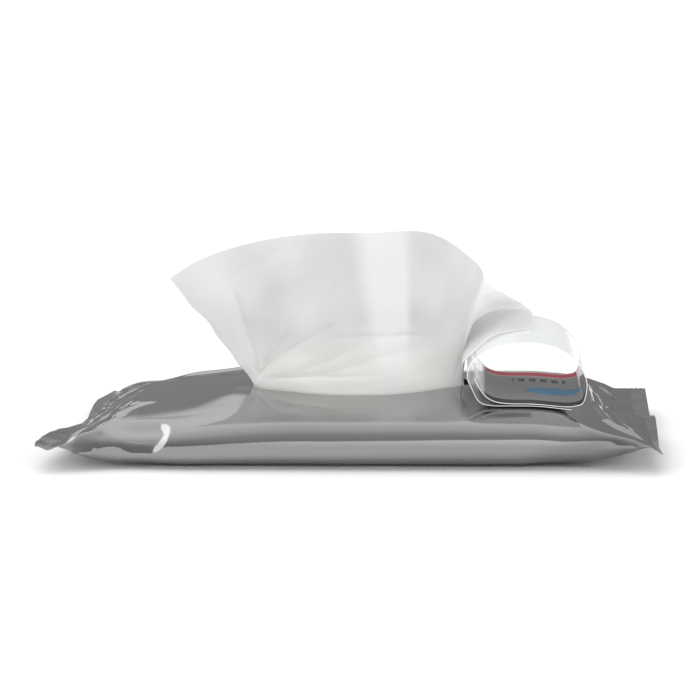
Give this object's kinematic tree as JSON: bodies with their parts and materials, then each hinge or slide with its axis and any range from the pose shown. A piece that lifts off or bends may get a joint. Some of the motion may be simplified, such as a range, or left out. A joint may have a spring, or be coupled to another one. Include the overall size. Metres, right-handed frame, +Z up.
{
  "type": "wet wipes pack",
  "caption": "Soft flow-wrapped film pouch of moist wipes with crimped ends, one wipe standing out of its oval mouth, and the clear resealing label peeled back into a loop.",
  "frame": {"origin": "on the table, under the middle of the pack's box", "axes": "+X along the pack from one crimped end to the other, towards the rolled-back label; -Y is the front; +Z up"},
  "size_m": [0.242, 0.1184, 0.0888],
  "materials": {
    "film": "satin metallised film, silvery grey",
    "folded_wipes": "moist nonwoven, white",
    "wipe": "moist nonwoven, white, matt",
    "label": "clear glossy film with a printed panel in grey, blue and dark red"
  },
  "bodies": {
    "root": {"pouch_film": "film", "wipe_stack": "folded_wipes", "pulled_wipe": "wipe", "reseal_label": "label"}
  },
  "joints": []
}
